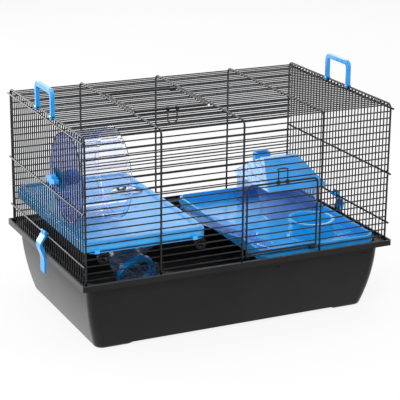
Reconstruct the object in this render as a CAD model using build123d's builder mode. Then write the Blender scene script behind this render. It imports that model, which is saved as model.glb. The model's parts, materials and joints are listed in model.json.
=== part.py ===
"""Wire hamster cage on a deep tub, fitted with shelves, ramp, chute, wheel, house and bowl.

Millimetres. Origin: centre of the footprint, on the floor under the feet.
+X runs along the long side, -Y is the front with the door, +Z is up.
"""
from build123d import *
import os
from math import cos, radians, sin

os.makedirs("parts", exist_ok=True)

# ---------------------------------------------------------------- driving dimensions
# Tub
lip_top = 111.0
lip_end_reach = 7.5
lip_side_reach = 9.5
lip_skirt = 8.5
lip_corner = 4.0
ledge_drop = 4.0
tub_wall = 2.5
wall_inset = 13.0
wall_corner = 14.0
belly_inset = 17.5
belly_power = 2
bottom_radius = 7.0
tub_levels = 5
foot_height = 4.0
foot_end_run = 46.0
foot_side_run = 40.0
foot_slope = 9.0
slot_length = 10.0
slot_height = 3.0
slot_depth = 1.6
slot_drop = 19.0
slot_middle_x = 60.0
slot_end_gap = 33.0

# Wire cage
cage_length = 486.0
cage_width = 315.0
cage_height = 211.0
hoop_wire = 3.0
bar_wire = 2.0
hoop_bend = 8.0
bay_middle = 129.0
bar_pitch = 10.3
first_bar = 4.0
end_bar_pitch = 9.26
low_rail_height = 26.0
middle_rail_height = 103.0
top_rail_drop = 7.0
rail_overhang = 3.0
weld_gap = 0.02

# Doors
door_bar_count = 10
top_door_bar_count = 11
top_back_bar_count = 9
door_side_gap = 6.5
door_corner = 7.0
sleeve_length = 9.0
sleeve_wall = 1.4
hinge_clearance = 0.1
latch_width = 15.0
latch_wire = 2.0
latch_rise = 19.0
latch_reach = 5.2
latch_hang = 22.0
latch_bow = 6.0
latch_bend = 2.0

# Carry handles
handle_spread = 31.9
handle_leg = 5.4
handle_depth = 6.0
handle_height = 40.0
handle_grip = 6.5
handle_corner = 10.0
handle_eye = 4.4

# Base clips
clip_width = 18.0
clip_thickness = 3.2
clip_bulge = 4.6
clip_neck = 0.3
clip_catch = 3.4
clip_tuck = 1.3
clip_tip = 3.0
clip_tail = 32.0
clip_ear = 5.0
clip_clearance = 0.3
clip_finger = 6.0

# Left shelf
shelf_sheet = 2.0
left_shelf_top = 56.0
left_shelf_rim = 14.0
left_shelf_length = 187.7
shelf_side_gap = 0.8
shelf_corner = 16.0
ring_radius = 8.5
ring_hole = 4.5
ring_depth = 5.0
ring_end_gaps = (26.7, 10.0)
hook_end_gaps = (15.7, 22.0)
hook_width = 7.0

# Right shelf
right_shelf_length = 196.0
right_shelf_end_gap = 12.0
right_shelf_rise = 6.0
right_shelf_side_gap = 2.4
right_shelf_toe = -1.5
right_shelf_depth = 8.0
tray_side_clearance = 1.6

# Ramp
ramp_width = 52.0
ramp_landing = 38.0
ramp_centre_y = -82.0
ramp_rail = 8.0
ramp_deck = 2.0
ramp_rung = 2.0
ramp_rung_count = 11

# Chute under the left shelf
chute_radius = 26.0
chute_wall = 1.6
chute_hole_end_gap = 36.0
chute_hole_y = 62.0
collar_radius = 30.5
collar_length = 9.0
slide_rail = 20.0
slide_length = 90.0
slide_fall_share = 0.53
slide_wall_gap = 12.5
slide_floor_gap = 11.0
slide_bend_steps = 4

# The chute's route from the hole: x from the hole, y from the hole, drop below the shelf top
chute_route = ((0, 0, 0), (0, -4, 20), (1, -18, 36), (4, -48, 44), (-8, -74, 49),
               (-36.6, -92.5, 54), (-51.1, -114.2, 66), (-47.2, -140, 78))

# Wheel
wheel_top_gap = 20.0
wheel_wall = 1.8
wheel_plate_gap = 9.28
wheel_shelf_gap = 3.0
wheel_width = 75.0
wheel_bay = -5.5
wheel_rung_count = 30
axle_diameter = 8.0
hub_diameter = 22.0
hub_length = 17.0
rung_height = 2.2
rung_thickness = 1.6
rim_band = 5.0
rim_proud = 1.2
spin_clearance = 0.1
axle_float = 0.5
cap_radius = 7.0
cap_thickness = 3.0
mount_width = 40.0
mount_height = 26.0
mount_corner = 6.0
mount_thickness = 2.2
knob_span = 34.0
knob_wing = 7.0
knob_radius = 8.0
knob_depth = 7.6
knob_left_gap = 0.4
stud_diameter = 5.0

# House
house_length = 90.0
house_depth = 123.0
house_end_gap = 6.0
house_back_gap = 10.9
house_wall = 2.0
house_corner = 8.0
roof_sheet = 2.0
roof_ledge = 1.2
eave_height = 40.0
eave_overhang = 5.0
eave_end_overhang = 12.0
ridge_height = 77.0
ridge_hip = 23.0
ridge_width = 10.0
door_arch_width = 62.0
door_arch_spring = 16.0
door_arch_rise = 24.0
chimney_along = 29.0
chimney_back = 86.0
chimney_length = 29.0
chimney_width = 20.0
chimney_wall = 3.0
chimney_corner = 8.0
chimney_top = 80.0
chimney_height = 36.0

# Bowl
bowl_end_gap = 71.0
bowl_y = -76.0
bowl_rim_radius = 36.0
bowl_foot_radius = 38.0
bowl_height = 28.0
bowl_wall = 2.4
bowl_floor = 6.0
bowl_floor_radius = 27.0

# ---------------------------------------------------------------- derived places
lip_length = cage_length + 2 * lip_end_reach
lip_width = cage_width + 2 * lip_side_reach
ledge_z = lip_top - ledge_drop
cage_top = lip_top + cage_height
side_y = cage_width / 2
end_x = cage_length / 2
hoop_x = (-end_x, -bay_middle, 0.0, bay_middle, end_x)
bar_y = side_y - hoop_wire / 2 - bar_wire / 2 - weld_gap
bar_z = cage_top - hoop_wire / 2 - bar_wire / 2 - weld_gap
rail_x = end_x + hoop_wire + weld_gap
post_x = rail_x - hoop_wire / 2 - bar_wire / 2 - weld_gap
front_bar_count = 1 + int((cage_height - first_bar - hoop_bend) / bar_pitch)
top_bar_count = 2 * int((side_y - hoop_bend) / bar_pitch + 0.5)
end_bar_count = 1 + 2 * int((side_y - hoop_bend) / end_bar_pitch)
rail_heights = (low_rail_height, middle_rail_height, cage_height - top_rail_drop)
front_heights = [lip_top + first_bar + bar_pitch * k for k in range(front_bar_count)]
top_places = [bar_pitch * (k - (top_bar_count - 1) / 2) for k in range(top_bar_count)]
end_places = [end_bar_pitch * (k - (end_bar_count - 1) / 2) for k in range(end_bar_count)]
wall_width = lip_width - 2 * wall_inset
inner_width = wall_width - 2 * tub_wall


def finish(part, name):
    """Label a finished piece and write it out under its own name."""
    part.label = name
    export_step(part, f"parts/{name}.step")


def wires_along_x(x_start, x_end, places, diameter=bar_wire):
    """Straight wires along X at the given (y, z) places."""
    with Locations(*[(x_start, y, z) for y, z in places]):
        Cylinder(diameter / 2, x_end - x_start, rotation=(0, 90, 0),
                 align=(Align.CENTER, Align.CENTER, Align.MIN))


def wires_along_y(y_start, y_end, places, diameter=bar_wire):
    """Straight wires along Y at the given (x, z) places."""
    with Locations(*[(x, y_start, z) for x, z in places]):
        Cylinder(diameter / 2, y_end - y_start, rotation=(-90, 0, 0),
                 align=(Align.CENTER, Align.CENTER, Align.MIN))


def wires_along_z(z_start, z_end, places, diameter=bar_wire):
    """Straight wires along Z at the given (x, y) places."""
    with Locations(*[(x, y, z_start) for x, y in places]):
        Cylinder(diameter / 2, z_end - z_start,
                 align=(Align.CENTER, Align.CENTER, Align.MIN))


# ---------------------------------------------------------------- tub
def tub_body(inward, low):
    """The tub's bellied form from a low level up to the ledge, closed, moved inwards."""
    levels = []
    for k in range(tub_levels + 1):
        height = low + (ledge_z - low) * k / tub_levels
        depth = (lip_top - height) / lip_top
        inset = wall_inset + belly_inset * depth**belly_power + inward
        with BuildSketch(Plane.XY.offset(height)) as level:
            RectangleRounded(lip_length - 2 * inset, lip_width - 2 * inset, wall_corner - inward)
        levels.append(level.sketch)
    with BuildPart() as body:
        loft(sections=levels)
        fillet(body.faces().sort_by(Axis.Z)[0].edges(), bottom_radius - inward)
    return body.part


def foot_arch(half_run):
    """The outline of the low arch between two feet, sloped at its ends."""
    Polygon((-half_run, 0), (foot_slope - half_run, foot_height),
            (half_run - foot_slope, foot_height), (half_run, 0), align=None)


with BuildPart() as base_tub:
    with BuildSketch(Plane.XY.offset(lip_top - lip_skirt)):
        RectangleRounded(lip_length, lip_width, lip_corner)
    extrude(amount=lip_skirt)
    with BuildSketch(Plane.XY.offset(lip_top - lip_skirt)):
        RectangleRounded(lip_length - 2 * tub_wall, lip_width - 2 * tub_wall, lip_corner - tub_wall)
    extrude(amount=lip_skirt - ledge_drop - tub_wall, mode=Mode.SUBTRACT)
    with BuildSketch(Plane.XY.offset(ledge_z)):
        RectangleRounded(lip_length - 2 * tub_wall, lip_width - 2 * tub_wall, lip_corner - tub_wall)
    extrude(amount=ledge_drop, mode=Mode.SUBTRACT)
    add(tub_body(0, 0))
    with BuildSketch(Plane.XZ):
        foot_arch(lip_length / 2 - wall_inset - belly_inset - foot_end_run)
    extrude(amount=lip_width / 2, both=True, mode=Mode.SUBTRACT)
    with BuildSketch(Plane.YZ):
        foot_arch(lip_width / 2 - wall_inset - belly_inset - foot_side_run)
    extrude(amount=lip_length / 2, both=True, mode=Mode.SUBTRACT)
    add(tub_body(tub_wall, foot_height + tub_wall), mode=Mode.SUBTRACT)
    with BuildSketch(Plane.XZ.offset(wall_width / 2)):
        with Locations(*[(x, lip_top - slot_drop) for x in (slot_middle_x, end_x - slot_end_gap)]):
            SlotOverall(slot_length, slot_height)
    extrude(amount=-slot_depth, mode=Mode.SUBTRACT)
finish(base_tub.part, "base_tub")

# ---------------------------------------------------------------- wire cage
with BuildPart() as hoop:
    with BuildLine(Plane.YZ) as hoop_path:
        FilletPolyline((-side_y, ledge_z + weld_gap), (-side_y, cage_top),
                       (side_y, cage_top), (side_y, ledge_z + weld_gap), radius=hoop_bend)
    with BuildSketch(Plane(origin=hoop_path.line @ 0, z_dir=hoop_path.line % 0)):
        Circle(hoop_wire / 2)
    sweep(path=hoop_path.line)

with BuildPart() as cage_hoops:
    with Locations(*[(x, 0, 0) for x in hoop_x]):
        add(hoop.part)
finish(cage_hoops.part, "cage_hoops")

door_left = hoop_x[2]
door_right = hoop_x[3]
door_heights = front_heights[1:door_bar_count + 1]
bar_reach = rail_x - hoop_wire / 2 - weld_gap
top_reach = post_x - bar_wire / 2 - weld_gap

with BuildPart() as front_bars_upper:
    wires_along_x(-bar_reach, bar_reach, [(-bar_y, front_heights[0])])
    wires_along_x(-bar_reach, bar_reach, [(-bar_y, z) for z in front_heights[door_bar_count + 1:]])
finish(front_bars_upper.part, "front_bars_upper")

with BuildPart() as front_bars_left:
    wires_along_x(-bar_reach, door_left + hoop_wire / 2, [(-bar_y, z) for z in door_heights])
finish(front_bars_left.part, "front_bars_left")

with BuildPart() as front_bars_right:
    wires_along_x(door_right - hoop_wire / 2, bar_reach, [(-bar_y, z) for z in door_heights])
finish(front_bars_right.part, "front_bars_right")

with BuildPart() as back_bars:
    wires_along_x(-bar_reach, bar_reach, [(bar_y, z) for z in front_heights])
finish(back_bars.part, "back_bars")

# The top door's bars sit between a hinge bar at the back and a latch bar at the front.
hinge_index = top_bar_count - top_back_bar_count
top_hinge_y = top_places[hinge_index]
door_places = top_places[hinge_index - top_door_bar_count:hinge_index]
latch_bar_index = hinge_index - top_door_bar_count - 1
top_door_left = hoop_x[1]
top_door_right = hoop_x[2]

with BuildPart() as top_bars_front:
    wires_along_x(-top_reach, top_reach, [(y, bar_z) for y in top_places[:latch_bar_index + 1]])
finish(top_bars_front.part, "top_bars_front")

with BuildPart() as top_bars_back:
    wires_along_x(-top_reach, top_reach, [(y, bar_z) for y in top_places[hinge_index:]])
finish(top_bars_back.part, "top_bars_back")

with BuildPart() as top_bars_left:
    wires_along_x(-top_reach, top_door_left + hoop_wire / 2, [(y, bar_z) for y in door_places])
finish(top_bars_left.part, "top_bars_left")

with BuildPart() as top_bars_right:
    wires_along_x(top_door_right - hoop_wire / 2, top_reach, [(y, bar_z) for y in door_places])
finish(top_bars_right.part, "top_bars_right")

post_top = cage_top - hoop_wire / 2 - weld_gap
for side, side_name in ((-1, "left"), (1, "right")):
    with BuildPart() as end_bars:
        wires_along_z(ledge_z + weld_gap, post_top, [(side * post_x, y) for y in end_places])
    finish(end_bars.part, f"{side_name}_end_bars")
    with BuildPart() as end_rails:
        rail_end = side_y + hoop_wire / 2 + rail_overhang / 2
        wires_along_y(-rail_end, rail_end, [(side * rail_x, lip_top + h) for h in rail_heights],
                      hoop_wire)
    finish(end_rails.part, f"{side_name}_end_rails")


# ---------------------------------------------------------------- doors
def door_parts(panel, name, left, right, bars, rim, hanging):
    """A wire door in a panel plane: local x along the hinge, local y from hinge to latch.

    The local normal points out of the cage. The hinge axis is the local x axis. The latch
    loop stands up from the rim and leans in over a bar, or hangs down between two bars.
    """
    low_x = left + door_side_gap
    high_x = right - door_side_gap
    mid_x = (low_x + high_x) / 2
    lift = hoop_wire / 2 + bar_wire / 2 + weld_gap
    sleeve_radius = bar_wire / 2 + hinge_clearance + sleeve_wall
    frame_foot = bar_pitch / 2

    with BuildPart() as frame:
        with BuildLine(panel.offset(lift)) as frame_line:
            FilletPolyline((low_x, frame_foot), (low_x, rim), (high_x, rim), (high_x, frame_foot),
                           radius=door_corner)
        with BuildSketch(Plane(origin=frame_line.line @ 0, z_dir=frame_line.line % 0)):
            Circle(hoop_wire / 2)
        sweep(path=frame_line.line)
        with BuildSketch(Plane(origin=panel.from_local_coords(Vector(low_x, frame_foot, lift)),
                               z_dir=panel.x_dir)):
            Circle(hoop_wire / 2)
        extrude(amount=high_x - low_x)
        for start_x in (low_x, high_x - sleeve_length):
            eye = panel.from_local_coords(Vector(start_x, 0, 0))
            arm = panel.from_local_coords(Vector(start_x, 0, lift))
            with BuildSketch(Plane(origin=eye, z_dir=panel.x_dir)):
                Circle(sleeve_radius)
            extrude(amount=sleeve_length)
            with BuildSketch(Plane(origin=arm, x_dir=panel.x_dir, z_dir=panel.y_dir)):
                with Locations((sleeve_length / 2, 0)):
                    Rectangle(sleeve_length, sleeve_wall)
            extrude(amount=frame_foot)
            with BuildSketch(Plane(origin=eye, z_dir=panel.x_dir)):
                Circle(bar_wire / 2 + hinge_clearance)
            extrude(amount=sleeve_length, mode=Mode.SUBTRACT)
    finish(frame.part, f"{name}_frame")

    with BuildPart() as bars_part:
        for distance in bars:
            start = panel.from_local_coords(Vector(low_x - hoop_wire / 2, distance, 0))
            with BuildSketch(Plane(origin=start, z_dir=panel.x_dir)):
                Circle(bar_wire / 2)
            extrude(amount=high_x - low_x + hoop_wire)
    finish(bars_part.part, f"{name}_bars")

    with BuildPart() as latch:
        eye_radius = hoop_wire / 2 + hinge_clearance + sleeve_wall
        half = latch_width / 2
        start = eye_radius - latch_wire / 4
        tip = rim + latch_rise
        bend = latch_bow if hanging else latch_bend
        leg = ([(rim, lift - start), (rim, lift - latch_hang)] if hanging
               else [(rim + start, lift), (tip, lift), (tip, lift - latch_reach)])
        points = [(mid_x - half, y, z) for y, z in leg] + [(mid_x + half, y, z) for y, z in leg[::-1]]
        with BuildLine() as latch_line:
            FilletPolyline(*[panel.from_local_coords(Vector(*p)) for p in points], radius=bend)
        with BuildSketch(Plane(origin=latch_line.line @ 0, z_dir=latch_line.line % 0)):
            Circle(latch_wire / 2)
        sweep(path=latch_line.line)
        for side in (-1, 1):
            eye = panel.from_local_coords(Vector(mid_x + side * half - latch_wire, rim, lift))
            with BuildSketch(Plane(origin=eye, z_dir=panel.x_dir)):
                Circle(eye_radius)
            extrude(amount=2 * latch_wire)
        with BuildSketch(Plane(origin=panel.from_local_coords(Vector(low_x, rim, lift)),
                               z_dir=panel.x_dir)):
            Circle(hoop_wire / 2 + hinge_clearance)
        extrude(amount=high_x - low_x, mode=Mode.SUBTRACT)
    finish(latch.part, f"{name}_latch")


front_panel = Plane(origin=(0, -bar_y, front_heights[0]), x_dir=(1, 0, 0), z_dir=(0, -1, 0))
door_parts(front_panel, "front_door", door_left, door_right,
           [bar_pitch * (k + 1) for k in range(door_bar_count)], bar_pitch * (door_bar_count + 0.5),
           False)

# Seen from above, the top door runs from its hinge at the back to its latch at the front.
top_panel = Plane(origin=(0, top_hinge_y, bar_z), x_dir=(-1, 0, 0), z_dir=(0, 0, 1))
door_parts(top_panel, "top_door", -top_door_right, -top_door_left,
           [bar_pitch * (k + 1) for k in range(top_door_bar_count)],
           bar_pitch * (top_door_bar_count + 0.5), True)

# ---------------------------------------------------------------- carry handles
for side, side_name in ((-1, "left"), (1, "right")):
    with BuildPart() as handle:
        with BuildSketch(Plane.YZ.offset(side * end_x - handle_depth / 2)):
            with Locations((0, cage_top)):
                Rectangle(2 * handle_spread + handle_leg, handle_height,
                          align=(Align.CENTER, Align.MIN))
            with Locations((0, cage_top)):
                Rectangle(2 * handle_spread - handle_leg, handle_height - handle_grip,
                          align=(Align.CENTER, Align.MIN), mode=Mode.SUBTRACT)
        extrude(amount=handle_depth)
        corners = handle.edges().filter_by(Axis.X).group_by(Axis.Z)[-1]
        fillet(corners, handle_corner)
        inner_corners = handle.edges().filter_by(Axis.X).group_by(Axis.Z)[-2]
        fillet(inner_corners, handle_corner - handle_leg)
        wires_along_y(-handle_spread - handle_leg / 2, -handle_spread + handle_leg / 2,
                      [(side * end_x, cage_top)], 2 * handle_eye)
        wires_along_y(handle_spread - handle_leg / 2, handle_spread + handle_leg / 2,
                      [(side * end_x, cage_top)], 2 * handle_eye)
        with BuildSketch(Plane.XZ.offset(-handle_spread - handle_leg)):
            with Locations((side * end_x, cage_top)):
                Circle(hoop_wire / 2 + hinge_clearance)
        extrude(amount=2 * (handle_spread + handle_leg), mode=Mode.SUBTRACT)
    finish(handle.part, f"{side_name}_handle")

# ---------------------------------------------------------------- base clips
clip_axis_z = lip_top + rail_heights[0]
eye_inner = hoop_wire / 2 + hinge_clearance
eye_outer = eye_inner + clip_thickness / 2
for side, side_name in ((-1, "left"), (1, "right")):
    with BuildPart() as clip:
        outer_x = lip_length / 2 + clip_clearance
        neck_x = rail_x + eye_inner
        catch_z = lip_top - lip_skirt - 2 * clip_clearance
        with BuildSketch(Plane.XZ.offset(-clip_width / 2)):
            with BuildLine():
                inner = Spline((neck_x + clip_neck, clip_axis_z),
                               (outer_x + clip_bulge, lip_top + 0.5 * low_rail_height),
                               (outer_x, lip_top), tangents=((0.25, -1), (0, -1)))
                Line(inner @ 1, (outer_x, catch_z))
                Line((outer_x, catch_z), (outer_x - clip_catch, catch_z))
                tail = Spline((outer_x - clip_catch, catch_z),
                              (outer_x - 0.6 * clip_catch, lip_top - 0.6 * clip_tail),
                              (outer_x - clip_tuck, lip_top - clip_tail))
                tip = ThreePointArc(tail @ 1, (tail @ 1) + Vector(clip_tip / 2, -clip_tip / 2),
                                    (tail @ 1) + Vector(clip_tip, 0))
                back = Spline(tip @ 1, (outer_x + 0.9 * clip_thickness, lip_top - 0.2 * clip_tail),
                              (outer_x + clip_thickness + clip_bulge, lip_top + 0.45 * low_rail_height),
                              (neck_x + clip_thickness, clip_axis_z), tangents=((0.05, 1), (-0.6, 1)))
                Line(back @ 1, (neck_x + clip_neck, clip_axis_z))
            make_face()
        extrude(amount=clip_width)
        for finger_y in (-end_bar_pitch / 2, end_bar_pitch / 2):
            with BuildSketch(Plane.XZ.offset(-finger_y - clip_finger / 2)):
                with Locations((rail_x, clip_axis_z)):
                    Circle(eye_outer)
                with Locations((neck_x + clip_thickness / 2, clip_axis_z + clip_ear / 2)):
                    SlotOverall(clip_ear + clip_thickness, clip_thickness, rotation=90)
            extrude(amount=clip_finger)
        with BuildSketch(Plane.XZ.offset(-clip_width)):
            with Locations((rail_x, clip_axis_z)):
                Circle(eye_inner)
        extrude(amount=2 * clip_width, mode=Mode.SUBTRACT)
    piece = clip.part if side > 0 else mirror(clip.part, about=Plane.YZ)
    finish(piece, f"{side_name}_clip")

# ---------------------------------------------------------------- chute route
# The chute drops from the shelf, comes forward, then winds round the left to the front.
shelf_z = lip_top + left_shelf_top
shelf_left = -(post_x - bar_wire / 2 - shelf_side_gap)
shelf_right = shelf_left + left_shelf_length
chute_points = [Vector(shelf_right - chute_hole_end_gap + x, chute_hole_y + y, shelf_z - drop)
                for x, y, drop in chute_route]
exit_point = chute_points[-1]
exit_way = (chute_points[-1] - chute_points[-2]).normalized()
with BuildLine() as chute_line:
    Polyline(*chute_points)

# ---------------------------------------------------------------- left shelf
shelf_half = bar_y - bar_wire / 2 - shelf_side_gap
hook_height = front_heights[4]
hook_x = [shelf_left + hook_end_gaps[0], shelf_right - hook_end_gaps[1]]
with BuildPart() as left_shelf:
    shelf_mid = (shelf_left + shelf_right) / 2
    with BuildSketch(Plane.XY.offset(shelf_z - left_shelf_rim)):
        with Locations((shelf_mid, 0)):
            RectangleRounded(left_shelf_length, 2 * shelf_half, shelf_corner)
    extrude(amount=left_shelf_rim)
    fillet(left_shelf.faces().sort_by(Axis.Z)[-1].edges(), shelf_sheet)
    with BuildSketch(Plane.XY.offset(shelf_z - left_shelf_rim)):
        with Locations((shelf_mid, 0)):
            RectangleRounded(left_shelf_length - 2 * shelf_sheet, 2 * (shelf_half - shelf_sheet),
                             shelf_corner - shelf_sheet)
    extrude(amount=left_shelf_rim - shelf_sheet, mode=Mode.SUBTRACT)
    with BuildSketch(Plane.XY.offset(shelf_z - shelf_sheet)):
        with Locations((chute_points[0].X, chute_points[0].Y)):
            Circle(chute_radius - chute_wall)
    extrude(amount=shelf_sheet, mode=Mode.SUBTRACT)
    for face_side in (-1, 1):
        hook_y = face_side * (shelf_half - shelf_sheet / 2)
        hook_end = face_side * (bar_y + bar_wire / 2 + 2.6)
        hook_mid = (hook_y + hook_end) / 2
        with Locations(*[(x, hook_mid, hook_height + bar_wire / 2 + 0.3) for x in hook_x]):
            Box(hook_width, abs(hook_end - hook_y), shelf_sheet,
                align=(Align.CENTER, Align.CENTER, Align.MIN))
        with Locations(*[(x, hook_end, hook_height - bar_wire) for x in hook_x]):
            Box(hook_width, shelf_sheet, bar_wire * 1.5 + 0.3 + shelf_sheet,
                align=(Align.CENTER, Align.MIN if face_side < 0 else Align.MAX, Align.MIN))
finish(left_shelf.part, "left_shelf")

with BuildPart() as shelf_rings:
    ring_z = shelf_z - left_shelf_rim - weld_gap - ring_radius
    for face_side in (-1, 1):
        for x in (shelf_left + ring_end_gaps[0], shelf_right - ring_end_gaps[1]):
            with BuildSketch(Plane.XZ.offset(-face_side * (shelf_half - ring_depth / 2) - ring_depth / 2)):
                with Locations((x, ring_z)):
                    Circle(ring_radius)
                    Circle(ring_hole, mode=Mode.SUBTRACT)
            extrude(amount=ring_depth)
finish(shelf_rings.part, "shelf_rings")

# ---------------------------------------------------------------- chute, collar and slide
with BuildPart() as chute_tube:
    with BuildSketch(Plane(origin=chute_line.line @ 0, z_dir=chute_line.line % 0)):
        Circle(chute_radius)
        Circle(chute_radius - chute_wall, mode=Mode.SUBTRACT)
    sweep(path=chute_line.line, transition=Transition.RIGHT)
    split(bisect_by=Plane.XY.offset(shelf_z - shelf_sheet - weld_gap), keep=Keep.BOTTOM)
finish(chute_tube.part, "chute_tube")

with BuildPart() as chute_collar:
    with BuildSketch(Plane(origin=exit_point + exit_way * weld_gap, z_dir=exit_way)):
        Circle(collar_radius)
        Circle(chute_radius - chute_wall, mode=Mode.SUBTRACT)
    extrude(amount=collar_length)
finish(chute_collar.part, "chute_collar")

slide_start = exit_point + exit_way * (collar_length + 2 * weld_gap)
slide_end_z = foot_height + tub_wall + chute_radius + slide_floor_gap
slide_way = Vector(slide_length, 0, slide_fall_share * (slide_end_z - slide_start.Z))
slide_y = chute_radius + slide_wall_gap - inner_width / 2
bend_way = exit_way + slide_way.normalized()
slide_turn = slide_start + bend_way * ((slide_y - slide_start.Y) / bend_way.Y)
with BuildLine() as slide_bend:
    TangentArc(slide_start, slide_turn, tangent=exit_way)
slide_stations = [(slide_bend.line @ (k / slide_bend_steps), slide_bend.line % (k / slide_bend_steps))
                  for k in range(slide_bend_steps)]
slide_stations += [(slide_turn, slide_way.normalized()), (slide_turn + slide_way, slide_way.normalized())]


def trough(radius, rise):
    """A closed trough form along the slide, round below and straight-sided above."""
    sections = []
    for place, way in slide_stations:
        across = Vector(0, 0, 1).cross(way)
        with BuildSketch(Plane(origin=place, x_dir=across, z_dir=way)) as section:
            Circle(radius)
            with Locations((0, radius)):
                Rectangle(2 * radius, 2 * radius, mode=Mode.SUBTRACT)
            with Locations((0, rise / 2)):
                Rectangle(2 * radius, rise)
        sections.append(section.sketch)
    with BuildPart() as form:
        loft(sections=sections, ruled=True)
    return form.part


with BuildPart() as chute_slide:
    add(trough(chute_radius, slide_rail))
    add(trough(chute_radius - chute_wall, slide_rail + chute_wall), mode=Mode.SUBTRACT)
finish(chute_slide.part, "chute_slide")

# ---------------------------------------------------------------- right shelf
right_shelf_right = end_x - right_shelf_end_gap
right_shelf_left = right_shelf_right - right_shelf_length
shelf_floor = lip_top - right_shelf_depth
tray_half = inner_width / 2 - tray_side_clearance
tray_left = right_shelf_left + shelf_sheet
tray_right = right_shelf_right - shelf_sheet
with BuildPart() as right_shelf:
    with BuildSketch(Plane.XY.offset(ledge_z + weld_gap)):
        with Locations(((right_shelf_left + right_shelf_right) / 2, 0)):
            RectangleRounded(right_shelf_length, 2 * shelf_half, shelf_corner)
    extrude(amount=ledge_drop + right_shelf_toe)
    with BuildSketch(Plane.XY.offset(ledge_z + weld_gap)):
        with Locations(((right_shelf_left + right_shelf_right) / 2, 0)):
            RectangleRounded(right_shelf_length, 2 * (bar_y - bar_wire / 2 - right_shelf_side_gap),
                             shelf_corner)
    extrude(amount=ledge_drop + right_shelf_rise)
    with BuildSketch(Plane.XY.offset(shelf_floor - shelf_sheet)):
        with Locations(((tray_left + tray_right) / 2, 0)):
            RectangleRounded(tray_right - tray_left, 2 * tray_half, shelf_corner)
    extrude(amount=right_shelf_depth + shelf_sheet)
    with BuildSketch(Plane.XY.offset(shelf_floor)):
        with Locations(((tray_left + tray_right) / 2, 0)):
            RectangleRounded(tray_right - tray_left - 2 * shelf_sheet, 2 * (tray_half - shelf_sheet),
                             shelf_corner - shelf_sheet)
    extrude(amount=right_shelf_depth + right_shelf_rise + 1, mode=Mode.SUBTRACT)
finish(right_shelf.part, "right_shelf")

# ---------------------------------------------------------------- ramp between the shelves
ramp_top_x = shelf_right + weld_gap
ramp_low_x = right_shelf_left + ramp_landing
ramp_top_z = shelf_z - shelf_sheet
ramp_low_z = lip_top - right_shelf_depth + ramp_deck
ramp_way = Vector(ramp_low_x - ramp_top_x, 0, ramp_low_z - ramp_top_z)
ramp_plane = Plane(origin=(ramp_top_x, ramp_centre_y, ramp_top_z), x_dir=ramp_way,
                   z_dir=ramp_way.cross(Vector(0, 1, 0)))
with BuildPart() as ramp:
    with BuildSketch(ramp_plane.offset(-ramp_deck)):
        with Locations((ramp_way.length / 2, 0)):
            Rectangle(ramp_way.length, ramp_width)
    extrude(amount=ramp_deck)
    with BuildSketch(ramp_plane):
        for edge in (-1, 1):
            with Locations((ramp_way.length / 2, edge * (ramp_width - ramp_deck) / 2)):
                Rectangle(ramp_way.length, ramp_deck)
    extrude(amount=ramp_rail)
    split(bisect_by=Plane.YZ.offset(ramp_top_x + weld_gap), keep=Keep.TOP)
finish(ramp.part, "ramp")

with BuildPart() as ramp_rungs:
    rung_pitch = ramp_way.length / (ramp_rung_count + 1)
    with BuildSketch(ramp_plane.offset(weld_gap)):
        with Locations(*[(rung_pitch * (k + 1), 0) for k in range(ramp_rung_count)]):
            Rectangle(ramp_deck, ramp_width - 2 * ramp_deck - 2 * weld_gap)
    extrude(amount=ramp_rung)
finish(ramp_rungs.part, "ramp_rungs")

# ---------------------------------------------------------------- wheel on its axle
wheel_y = wheel_bay * end_bar_pitch
wheel_radius = (cage_top - wheel_top_gap - shelf_z - wheel_shelf_gap) / 2
wheel_z = shelf_z + wheel_radius + wheel_shelf_gap
plate_x = -(post_x - bar_wire / 2 - weld_gap)
wheel_left = plate_x + mount_thickness + wheel_plate_gap
with BuildPart() as wheel_axle:
    with BuildSketch(Plane.YZ.offset(plate_x)):
        with Locations((wheel_y, wheel_z)):
            RectangleRounded(mount_width, mount_height, mount_corner)
    extrude(amount=mount_thickness)
    axle_end = wheel_left + hub_length + axle_float
    with BuildSketch(Plane.YZ.offset(plate_x)):
        with Locations((wheel_y, wheel_z)):
            Circle(axle_diameter / 2)
    extrude(amount=axle_end - plate_x)
    with BuildSketch(Plane.YZ.offset(plate_x)):
        with Locations((wheel_y, wheel_z)):
            Circle(stud_diameter / 2)
    extrude(amount=-(knob_left_gap + plate_x - -rail_x - hoop_wire / 2 + knob_depth / 2))
    with BuildSketch(Plane.YZ.offset(axle_end)):
        with Locations((wheel_y, wheel_z)):
            Circle(cap_radius)
    extrude(amount=cap_thickness)
finish(wheel_axle.part, "wheel_axle")

knob_face = -rail_x - hoop_wire / 2 - knob_left_gap
with BuildPart() as wheel_knob:
    with BuildSketch(Plane.YZ.offset(knob_face)):
        with Locations((wheel_y, wheel_z)):
            Circle(knob_radius)
            SlotOverall(knob_span, knob_wing)
    extrude(amount=-knob_depth)
    with BuildSketch(Plane.YZ.offset(knob_face)):
        with Locations((wheel_y, wheel_z)):
            Circle(stud_diameter / 2 + spin_clearance)
    extrude(amount=-knob_depth / 2 - 2 * spin_clearance, mode=Mode.SUBTRACT)
finish(wheel_knob.part, "wheel_knob")

with BuildPart() as wheel_disc:
    with BuildSketch(Plane.YZ.offset(wheel_left)):
        with Locations((wheel_y, wheel_z)):
            Circle(wheel_radius)
    extrude(amount=wheel_wall)
    with BuildSketch(Plane.YZ.offset(wheel_left)):
        with Locations((wheel_y, wheel_z)):
            Circle(hub_diameter / 2 + weld_gap)
    extrude(amount=wheel_wall, mode=Mode.SUBTRACT)
finish(wheel_disc.part, "wheel_disc")

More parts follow.
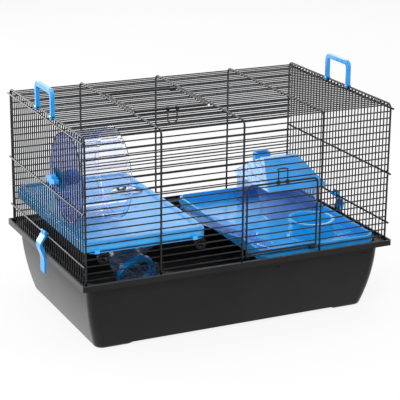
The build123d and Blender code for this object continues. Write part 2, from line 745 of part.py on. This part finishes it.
with BuildPart() as wheel_drum:
    with BuildSketch(Plane.YZ.offset(wheel_left + wheel_wall + weld_gap)):
        with Locations((wheel_y, wheel_z)):
            Circle(wheel_radius)
            Circle(wheel_radius - wheel_wall, mode=Mode.SUBTRACT)
    extrude(amount=wheel_width - wheel_wall)
    with BuildSketch(Plane.YZ.offset(wheel_left + wheel_width - rim_band)):
        with Locations((wheel_y, wheel_z)):
            Circle(wheel_radius + rim_proud)
            Circle(wheel_radius - wheel_wall - rim_proud, mode=Mode.SUBTRACT)
    extrude(amount=rim_band)
finish(wheel_drum.part, "wheel_drum")

with BuildPart() as wheel_hub:
    with BuildSketch(Plane.YZ.offset(wheel_left)):
        with Locations((wheel_y, wheel_z)):
            Circle(hub_diameter / 2)
            Circle(axle_diameter / 2 + spin_clearance, mode=Mode.SUBTRACT)
    extrude(amount=hub_length)
finish(wheel_hub.part, "wheel_hub")

with BuildPart() as wheel_rungs:
    rung_radius = wheel_radius - wheel_wall - weld_gap - rung_height / 2
    rung_length = wheel_width - wheel_wall - rim_band - 3 * weld_gap
    with BuildSketch(Plane.YZ.offset(wheel_left + wheel_wall + 2 * weld_gap)):
        with Locations((wheel_y, wheel_z)):
            with PolarLocations(rung_radius, wheel_rung_count):
                Rectangle(rung_height, rung_thickness)
    extrude(amount=rung_length)
finish(wheel_rungs.part, "wheel_rungs")

# ---------------------------------------------------------------- house
house_right = right_shelf_right - house_end_gap
house_left = house_right - house_length
house_back = tray_half - shelf_sheet - house_back_gap
house_front = house_back - house_depth
house_x = (house_left + house_right) / 2
house_y = (house_front + house_back) / 2
eave_left = house_left - eave_overhang
eave_right = house_right + eave_end_overhang
eave_z = lip_top + eave_height
with BuildPart() as house_walls:
    with BuildSketch(Plane.XY.offset(shelf_floor + weld_gap)):
        with Locations((house_x, house_y)):
            RectangleRounded(house_length, house_depth, house_corner)
            RectangleRounded(house_length - 2 * house_wall, house_depth - 2 * house_wall,
                             house_corner - house_wall, mode=Mode.SUBTRACT)
    extrude(amount=eave_z - shelf_floor - weld_gap)
    with BuildSketch(Plane.YZ.offset(house_left)):
        with Locations((house_y, shelf_floor)):
            Rectangle(door_arch_width, door_arch_spring, align=(Align.CENTER, Align.MIN))
        with Locations((house_y, shelf_floor + door_arch_spring)):
            Ellipse(door_arch_width / 2, door_arch_rise)
    extrude(amount=house_wall, mode=Mode.SUBTRACT)
finish(house_walls.part, "house_walls")


def hip_roof(inset):
    """The hipped roof solid, with every face moved inwards by an inset."""
    with BuildPart() as roof_form:
        with BuildSketch(Plane.XY.offset(eave_z + weld_gap)):
            with Locations(((eave_left + eave_right) / 2, house_y)):
                Rectangle(eave_right - eave_left - 2 * inset,
                          house_depth + 2 * (eave_overhang - inset))
        with BuildSketch(Plane.XY.offset(lip_top + ridge_height - inset)):
            with Locations(((eave_left + eave_right) / 2, house_y)):
                Rectangle(eave_right - eave_left - 2 * ridge_hip - inset, ridge_width - inset)
        loft(ruled=True)
    return roof_form.part


with BuildPart() as roof_cavity:
    add(hip_roof(roof_sheet))
    with BuildSketch(Plane.XY.offset(eave_z)):
        with Locations((house_x, house_y)):
            Rectangle(house_length + 2 * eave_end_overhang, house_depth + 2 * eave_overhang)
            RectangleRounded(house_length - 2 * house_wall, house_depth - 2 * house_wall,
                             house_corner - house_wall, mode=Mode.SUBTRACT)
    extrude(amount=roof_ledge, mode=Mode.SUBTRACT)

with BuildPart() as house_roof:
    add(hip_roof(0))
    add(roof_cavity.part, mode=Mode.SUBTRACT)
finish(house_roof.part, "house_roof")

with BuildPart() as house_chimney:
    chimney_base = chimney_top - chimney_height
    chimney_x = house_left + chimney_along
    chimney_y = house_front + chimney_back
    with BuildSketch(Plane.XY.offset(lip_top + chimney_base)):
        with Locations((chimney_x, chimney_y)):
            RectangleRounded(chimney_length, chimney_width, chimney_corner)
            RectangleRounded(chimney_length - 2 * chimney_wall, chimney_width - 2 * chimney_wall,
                             chimney_corner - chimney_wall, mode=Mode.SUBTRACT)
    extrude(amount=chimney_height)
    add(hip_roof(-weld_gap), mode=Mode.SUBTRACT)
finish(house_chimney.part, "house_chimney")

# ---------------------------------------------------------------- food bowl
bowl_x = right_shelf_right - bowl_end_gap
with BuildPart() as food_bowl:
    with BuildSketch(Plane.XZ.offset(-bowl_y)):
        with BuildLine():
            Polyline((bowl_x, shelf_floor + weld_gap), (bowl_x + bowl_foot_radius, shelf_floor + weld_gap),
                     (bowl_x + bowl_foot_radius - bowl_wall, shelf_floor + bowl_wall),
                     (bowl_x + bowl_rim_radius - bowl_wall, shelf_floor + bowl_height - bowl_wall),
                     (bowl_x + bowl_rim_radius, shelf_floor + bowl_height - bowl_wall),
                     (bowl_x + bowl_rim_radius, shelf_floor + bowl_height),
                     (bowl_x + bowl_rim_radius - 2 * bowl_wall, shelf_floor + bowl_height),
                     (bowl_x + bowl_floor_radius, shelf_floor + bowl_floor),
                     (bowl_x, shelf_floor + bowl_floor), close=True)
        make_face()
    revolve(axis=Axis((bowl_x, bowl_y, 0), (0, 0, 1)))
finish(food_bowl.part, "food_bowl")
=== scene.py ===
import json
from math import cos, pi, radians, sin

import bmesh
import bpy
from mathutils import Matrix, Vector


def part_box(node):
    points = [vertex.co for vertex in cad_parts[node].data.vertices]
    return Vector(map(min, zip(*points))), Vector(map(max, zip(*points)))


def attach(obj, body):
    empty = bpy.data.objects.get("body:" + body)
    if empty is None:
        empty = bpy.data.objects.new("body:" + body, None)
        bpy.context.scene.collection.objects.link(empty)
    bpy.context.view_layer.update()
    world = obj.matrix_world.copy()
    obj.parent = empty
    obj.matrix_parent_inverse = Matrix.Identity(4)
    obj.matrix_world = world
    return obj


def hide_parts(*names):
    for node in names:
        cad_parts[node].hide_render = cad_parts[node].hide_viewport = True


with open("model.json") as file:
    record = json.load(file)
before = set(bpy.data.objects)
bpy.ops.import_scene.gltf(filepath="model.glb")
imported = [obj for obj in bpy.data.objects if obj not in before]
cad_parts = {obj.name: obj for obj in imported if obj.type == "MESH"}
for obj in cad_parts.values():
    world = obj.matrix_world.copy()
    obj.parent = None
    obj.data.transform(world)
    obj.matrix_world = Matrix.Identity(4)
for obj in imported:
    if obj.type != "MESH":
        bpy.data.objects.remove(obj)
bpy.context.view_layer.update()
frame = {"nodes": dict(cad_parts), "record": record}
nodes = frame["nodes"]
scene = bpy.context.scene


# ---------------------------------------------------------------- materials
def node_tree(name):
    """A new material with its node tree and its main shader."""
    mat = bpy.data.materials.new(name)
    mat.use_nodes = True
    nt = mat.node_tree
    return mat, nt, nt.nodes["Principled BSDF"]


def plastic(name, dark, light, rough, scale=18.0, grain=0.02, grain_scale=900.0, coat=0.0,
            transmission=0.0, specular=0.5, sheen=0.0, ior=1.5):
    """Moulded plastic or coating: two close tones, uneven gloss and a fine surface grain."""
    mat, nt, shader = node_tree(name)
    coords = nt.nodes.new("ShaderNodeTexCoord")
    cloud = nt.nodes.new("ShaderNodeTexNoise")
    cloud.inputs["Scale"].default_value = scale
    cloud.inputs["Detail"].default_value = 4.0
    nt.links.new(coords.outputs["Object"], cloud.inputs["Vector"])
    tone = nt.nodes.new("ShaderNodeValToRGB")
    tone.color_ramp.elements[0].position = 0.36
    tone.color_ramp.elements[0].color = (*dark, 1)
    tone.color_ramp.elements[1].position = 0.64
    tone.color_ramp.elements[1].color = (*light, 1)
    nt.links.new(cloud.outputs["Fac"], tone.inputs["Fac"])
    nt.links.new(tone.outputs["Color"], shader.inputs["Base Color"])
    gloss = nt.nodes.new("ShaderNodeMapRange")
    gloss.inputs["To Min"].default_value = rough * 0.8
    gloss.inputs["To Max"].default_value = rough * 1.2
    nt.links.new(cloud.outputs["Fac"], gloss.inputs["Value"])
    nt.links.new(gloss.outputs["Result"], shader.inputs["Roughness"])
    fine = nt.nodes.new("ShaderNodeTexNoise")
    fine.inputs["Scale"].default_value = grain_scale
    fine.inputs["Detail"].default_value = 2.0
    nt.links.new(coords.outputs["Object"], fine.inputs["Vector"])
    bump = nt.nodes.new("ShaderNodeBump")
    bump.inputs["Strength"].default_value = grain
    bump.inputs["Distance"].default_value = 0.0004
    nt.links.new(fine.outputs["Fac"], bump.inputs["Height"])
    nt.links.new(bump.outputs["Normal"], shader.inputs["Normal"])
    shader.inputs["IOR"].default_value = ior
    shader.inputs["Coat Weight"].default_value = coat
    shader.inputs["Coat Roughness"].default_value = 0.08
    shader.inputs["Transmission Weight"].default_value = transmission
    shader.inputs["Specular IOR Level"].default_value = specular
    shader.inputs["Sheen Weight"].default_value = sheen
    shader.inputs["Sheen Roughness"].default_value = 0.35
    return mat


tub_mat = plastic("tub_plastic", (0.0100, 0.0088, 0.0092), (0.0138, 0.0123, 0.0127), 0.42,
                  scale=9, grain=0.1, grain_scale=1400, specular=0.12, sheen=0.5)
wire_mat = plastic("wire_coating", (0.003, 0.003, 0.0033), (0.006, 0.006, 0.0068), 0.26,
                   scale=120, grain=0.05, grain_scale=2500, specular=0.35)
blue_mat = plastic("blue_plastic", (0.007, 0.285, 0.74), (0.011, 0.335, 0.82), 0.26,
                   scale=60, grain=0.06, grain_scale=700, coat=0.3)
bowl_mat = plastic("bowl_plastic", (0.014, 0.40, 0.84), (0.020, 0.46, 0.90), 0.2,
                   scale=60, grain=0.04, grain_scale=700, coat=0.4)
# The shelves' blue is a lighter copy of the blue plastic: painted sheen, standing in for the pale
# reflection of the back light on the shelf tops. The chimney and the shelf borders share it.
shelf_painted_sheen_mat = plastic("shelf_plastic_painted_sheen", (0.022, 0.37, 0.86), (0.030, 0.42, 0.92), 0.30,
                    scale=60, grain=0.06, grain_scale=700, coat=0.25)
lilac_mat = plastic("lilac_clear", (0.56, 0.74, 0.98), (0.61, 0.78, 0.99), 0.07,
                    scale=30, grain=0.0, transmission=0.93, ior=1.25)
wheel_mat = plastic("wheel_clear", (0.88, 0.90, 0.98), (0.92, 0.93, 0.99), 0.04,
                    scale=30, grain=0.0, transmission=0.97, ior=1.18)
disc_mat = plastic("wheel_violet", (0.55, 0.60, 0.92), (0.60, 0.65, 0.94), 0.06,
                   scale=30, grain=0.0, transmission=0.93, ior=1.2)
black_mat = plastic("grommet_plastic", (0.004, 0.004, 0.0045), (0.007, 0.007, 0.008), 0.35,
                    scale=60, grain=0.1, grain_scale=1800, specular=0.15)


def roof_tiles(name):
    """The roof's plastic, with fine tile lines over its two sloped ends."""
    mat = plastic(name, (0.007, 0.285, 0.74), (0.010, 0.32, 0.79), 0.22, scale=30, grain=0.03,
                  coat=0.35)
    nt = mat.node_tree
    shader = nt.nodes["Principled BSDF"]
    coords = nt.nodes.new("ShaderNodeTexCoord")
    mapping = nt.nodes.new("ShaderNodeMapping")
    mapping.inputs["Rotation"].default_value = (radians(52), 0, radians(90))
    nt.links.new(coords.outputs["Object"], mapping.inputs["Vector"])
    bricks = nt.nodes.new("ShaderNodeTexBrick")
    bricks.inputs["Scale"].default_value = 1.0
    bricks.inputs["Brick Width"].default_value = 0.017
    bricks.inputs["Row Height"].default_value = 0.0105
    bricks.inputs["Mortar Size"].default_value = 0.0011
    bricks.inputs["Mortar Smooth"].default_value = 0.3
    nt.links.new(mapping.outputs["Vector"], bricks.inputs["Vector"])
    shape = nt.nodes.new("ShaderNodeNewGeometry")
    parts = nt.nodes.new("ShaderNodeSeparateXYZ")
    nt.links.new(shape.outputs["Normal"], parts.inputs["Vector"])
    size = nt.nodes.new("ShaderNodeMath")
    size.operation = "ABSOLUTE"
    nt.links.new(parts.outputs["X"], size.inputs[0])
    ends = nt.nodes.new("ShaderNodeMath")
    ends.operation = "GREATER_THAN"
    ends.inputs[1].default_value = 0.3
    nt.links.new(size.outputs[0], ends.inputs[0])
    lines = nt.nodes.new("ShaderNodeMath")
    lines.operation = "MULTIPLY"
    nt.links.new(ends.outputs[0], lines.inputs[0])
    nt.links.new(bricks.outputs["Fac"], lines.inputs[1])
    tone = next(n for n in nt.nodes if n.type == "VALTORGB")
    dark = nt.nodes.new("ShaderNodeMix")
    dark.data_type = "RGBA"
    nt.links.new(lines.outputs[0], dark.inputs["Factor"])
    nt.links.new(tone.outputs["Color"], dark.inputs["A"])
    dark.inputs["B"].default_value = (0.003, 0.07, 0.28, 1)
    nt.links.new(dark.outputs["Result"], shader.inputs["Base Color"])
    return mat


roof_mat = roof_tiles("roof_plastic")
by_slot = {"tub": tub_mat, "wire": wire_mat, "blue": blue_mat, "clear_lilac": lilac_mat,
           "grommet": black_mat}
by_node = {"wheel_drum": wheel_mat, "wheel_rungs": wheel_mat, "wheel_disc": disc_mat,
           "house_roof": roof_mat, "house_chimney": shelf_painted_sheen_mat,
           "left_shelf": shelf_painted_sheen_mat, "right_shelf": shelf_painted_sheen_mat, "food_bowl": bowl_mat}
slot_of = {s["node"]: s["material_slot"] for s in frame["record"]["subparts"]}
for name, obj in nodes.items():
    obj.data.materials.clear()
    obj.data.materials.append(by_node.get(name, by_slot[slot_of[name]]))

# ---------------------------------------------------------------- mesh helpers
def piece(name, bm, mat, body, smooth=True):
    """A finished mesh piece, riding on a CAD body."""
    bmesh.ops.recalc_face_normals(bm, faces=bm.faces)
    data = bpy.data.meshes.new(name)
    bm.to_mesh(data)
    bm.free()
    for poly in data.polygons:
        poly.use_smooth = smooth
    data.materials.append(mat)
    obj = bpy.data.objects.new(name, data)
    scene.collection.objects.link(obj)
    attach(obj, body)
    return obj


def catmull(points, steps):
    """A smooth line through the points, as evenly stepped places."""
    ends = [2 * points[0] - points[1]] + points + [2 * points[-1] - points[-2]]
    line = []
    for a, b, c, d in zip(ends, ends[1:], ends[2:], ends[3:]):
        for k in range(steps):
            t = k / steps
            line.append(0.5 * (2 * b + (c - a) * t + (2 * a - 5 * b + 4 * c - d) * t * t
                               + (3 * b - a - 3 * c + d) * t * t * t))
    return line + [points[-1]]


def pipe(bm, line, outer, inner, sides=48, reference=Vector((0, 0, 1))):
    """A walled pipe along a line; outer and inner give the radius at each place."""
    rings = []
    side = None
    for k, place in enumerate(line):
        way = (line[min(k + 1, len(line) - 1)] - line[max(k - 1, 0)]).normalized()
        if side is None:
            side = reference.cross(way)
            side = side.normalized() if side.length > 0.1 else Vector((1, 0, 0))
        side = (side - way * side.dot(way)).normalized()
        other = way.cross(side)
        rows = []
        for radius in (outer(k), inner(k)):
            rows.append([bm.verts.new(place + radius * (cos(2 * pi * j / sides) * side
                                                        + sin(2 * pi * j / sides) * other))
                         for j in range(sides)])
        rings.append(rows)
    for a, b in zip(rings, rings[1:]):
        for j in range(sides):
            n = (j + 1) % sides
            bm.faces.new((a[0][j], a[0][n], b[0][n], b[0][j]))
            bm.faces.new((a[1][j], b[1][j], b[1][n], a[1][n]))
    for rows in (rings[0], rings[-1]):
        for j in range(sides):
            n = (j + 1) % sides
            bm.faces.new((rows[0][j], rows[1][j], rows[1][n], rows[0][n]))


def round_rect(x0, x1, y0, y1, radius, steps=8):
    """A loop of places round a rounded rectangle, with the outward way at each."""
    loop = []
    for cx, cy, start in ((x1 - radius, y1 - radius, 0), (x0 + radius, y1 - radius, 90),
                          (x0 + radius, y0 + radius, 180), (x1 - radius, y0 + radius, 270)):
        for k in range(steps + 1):
            a = radians(start + 90 * k / steps)
            out = Vector((cos(a), sin(a), 0))
            loop.append((Vector((cx, cy, 0)) + radius * out, out))
    return loop


def bead(bm, loop, z, profile):
    """A closed band round a loop; the profile's points are (outward, up)."""
    rows = [[bm.verts.new(place + outward * out + Vector((0, 0, z + rise))) for outward, rise in profile]
            for place, out in loop]
    for a, b in zip(rows, rows[1:] + rows[:1]):
        for j in range(len(profile)):
            n = (j + 1) % len(profile)
            bm.faces.new((a[j], b[j], b[n], a[n]))


def hump(width, height, steps=8):
    """The section of a raised band: flat below, rounded above."""
    return [(-width * cos(pi * k / steps), height * sin(pi * k / steps) ** 0.6) for k in range(steps + 1)]


# ---------------------------------------------------------------- shelf borders
left_half_width = 0.15318
left_inset = 0.0065
right_half_width = 0.15158
right_inset = 0.0015
border_sink = 0.0002

low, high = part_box("left_shelf")
left_band = bmesh.new()
bead(left_band, round_rect(low.x + left_inset, high.x - left_inset, -left_half_width + left_inset,
                           left_half_width - left_inset, 0.0125),
     high.z - border_sink, hump(0.005, 0.0026))
left_band_piece = piece("left_shelf_border", left_band, shelf_painted_sheen_mat, "cage")

low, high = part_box("right_shelf")
right_band = bmesh.new()
bead(right_band, round_rect(low.x + right_inset, high.x - right_inset, -right_half_width + right_inset,
                            right_half_width - right_inset, 0.0145),
     high.z - border_sink, hump(0.0015, 0.0012))
right_band_piece = piece("right_shelf_border", right_band, shelf_painted_sheen_mat, "cage")

# ---------------------------------------------------------------- low domes in the tray corner
dome_rows, dome_columns = 7, 4
dome_step_x, dome_step_y = 0.0085, 0.0095
dome_radius = 0.0016
first_dome = Vector((0.196, -0.132, 0.1029))

domes = bmesh.new()
for row in range(dome_rows):
    for column in range(dome_columns):
        spot = first_dome + Vector((dome_step_x * column, dome_step_y * row, 0))
        bmesh.ops.create_uvsphere(domes, u_segments=10, v_segments=6, radius=dome_radius,
                                  matrix=Matrix.Translation(spot))
# The domes take the paler bowl blue as a painted highlight, standing in for the pale reflections on the
# tray's front corner.
dome_highlight_piece = piece("tray_domes_painted_highlight", domes, bowl_mat, "cage")

# ---------------------------------------------------------------- ribbed chute tube
rib_steps = 4
chute_outer, chute_inner = 0.0251, 0.0239
rib_outer, rib_inner = 0.0008, 0.0006

# The middle of the hole in the shelf's top, and the route from it: along, across, drop
hole = Vector((-0.0900, 0.062, 0.167))
route = ((0, -0.0004, 0.0021), (0, -0.004, 0.020), (0.001, -0.018, 0.036), (0.004, -0.048, 0.044),
         (-0.008, -0.074, 0.049), (-0.0366, -0.0925, 0.054), (-0.0511, -0.1142, 0.066),
         (-0.0472, -0.140, 0.078))
chute_line = catmull([hole + Vector((x, y, -drop)) for x, y, drop in route], 14)


def rib(k):
    """How far up a rib the k-th place along the chute is, from 0 to 1."""
    return 0.5 - 0.5 * cos(2 * pi * k / rib_steps)


chute = bmesh.new()
pipe(chute, chute_line, lambda k: chute_outer + rib_outer * rib(k),
     lambda k: chute_inner + rib_inner * rib(k))
chute_piece = piece("chute_ribbed_tube", chute, lilac_mat, "cage")
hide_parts("chute_tube")

# ---------------------------------------------------------------- stage, light, camera
floor_half = 6.0
floor_glow_share = 0.85
studio_strength = 0.62


def seen_rays(tree):
    """A socket that is 1 for camera, transmission and glossy rays, which see plain white."""
    path = tree.nodes.new("ShaderNodeLightPath")
    result = path.outputs["Is Camera Ray"]
    for kind in ("Is Transmission Ray", "Is Glossy Ray"):
        either = tree.nodes.new("ShaderNodeMath")
        either.operation = "MAXIMUM"
        tree.links.new(result, either.inputs[0])
        tree.links.new(path.outputs[kind], either.inputs[1])
        result = either.outputs[0]
    return result


floor_data = bpy.data.meshes.new("floor")
floor_data.from_pydata([(-floor_half, -floor_half, 0), (floor_half, -floor_half, 0),
                        (floor_half, floor_half, 0), (-floor_half, floor_half, 0)], [], [(0, 1, 2, 3)])
floor = bpy.data.objects.new("floor", floor_data)
scene.collection.objects.link(floor)
floor_mat, nt, shader = node_tree("floor_paper")
shader.inputs["Base Color"].default_value = (0.86, 0.86, 0.86, 1)
shader.inputs["Roughness"].default_value = 0.9
shader.inputs["Specular IOR Level"].default_value = 0.1
glow = nt.nodes.new("ShaderNodeEmission")
glow.inputs["Strength"].default_value = 1.0
share = nt.nodes.new("ShaderNodeMath")
share.operation = "MULTIPLY"
share.inputs[1].default_value = floor_glow_share
nt.links.new(seen_rays(nt), share.inputs[0])
mix = nt.nodes.new("ShaderNodeMixShader")
nt.links.new(share.outputs[0], mix.inputs["Fac"])
nt.links.new(shader.outputs["BSDF"], mix.inputs[1])
nt.links.new(glow.outputs["Emission"], mix.inputs[2])
nt.links.new(mix.outputs["Shader"], nt.nodes["Material Output"].inputs["Surface"])
floor_data.materials.append(floor_mat)

world = bpy.data.worlds.new("studio")
scene.world = world
world.use_nodes = True
wn = world.node_tree
base = wn.nodes["Background"]
base.inputs["Color"].default_value = (1, 1, 1, 1)
base.inputs["Strength"].default_value = studio_strength
white = wn.nodes.new("ShaderNodeBackground")
white.inputs["Color"].default_value = (1, 1, 1, 1)
white.inputs["Strength"].default_value = 1.0
wmix = wn.nodes.new("ShaderNodeMixShader")
wn.links.new(seen_rays(wn), wmix.inputs["Fac"])
wn.links.new(base.outputs["Background"], wmix.inputs[1])
wn.links.new(white.outputs["Background"], wmix.inputs[2])
wn.links.new(wmix.outputs["Shader"], wn.nodes["World Output"].inputs["Surface"])


def area(name, place, target, size, power):
    """A soft rectangular lamp that lights the object but isn't seen itself."""
    data = bpy.data.lights.new(name, "AREA")
    data.shape = "RECTANGLE"
    data.size, data.size_y = size
    data.energy = power
    lamp = bpy.data.objects.new(name, data)
    scene.collection.objects.link(lamp)
    lamp.location = place
    lamp.visible_camera = False
    lamp.rotation_euler = (Vector(target) - Vector(place)).to_track_quat("-Z", "Y").to_euler()


area("key", (-1.1, -1.3, 1.7), (0, 0, 0.12), (1.2, 1.2), 20)
area("fill", (1.6, -1.0, 1.0), (0, 0, 0.15), (1.4, 1.0), 6)
area("top", (0.1, 0.3, 1.9), (0, 0, 0.1), (1.6, 1.2), 11)
area("rim", (-0.95, 1.75, 0.40), (0, 0, 0.10), (1.5, 0.75), 19)
area("sheen", (1.05, 2.2, 0.92), (0, 0, 0.12), (1.6, 0.9), 4)
area("side", (-2.2, 0.0, 0.35), (-0.2, 0, 0.08), (1.2, 0.7), 10)

cam_data = bpy.data.cameras.new("camera")
cam = bpy.data.objects.new("camera", cam_data)
scene.collection.objects.link(cam)
cam_data.sensor_width = 36.0
cam_data.lens = 134.4
cam_data.clip_end = 20
camera_place = (-0.9337, -1.9837, 0.8564)
roll = radians(0.52)

# The camera's own axes in the room, before its small roll
right = Vector((0.9038, -0.4280, 0.0))
up = Vector((0.1299, 0.2743, 0.9528))
back = Vector((-0.4078, -0.8611, 0.3035))
right, up = cos(roll) * right + sin(roll) * up, cos(roll) * up - sin(roll) * right
turn = Matrix((right, up, back)).transposed().to_4x4()
cam.matrix_world = Matrix.Translation(camera_place) @ turn
scene.camera = cam

scene.view_settings.view_transform = "Standard"
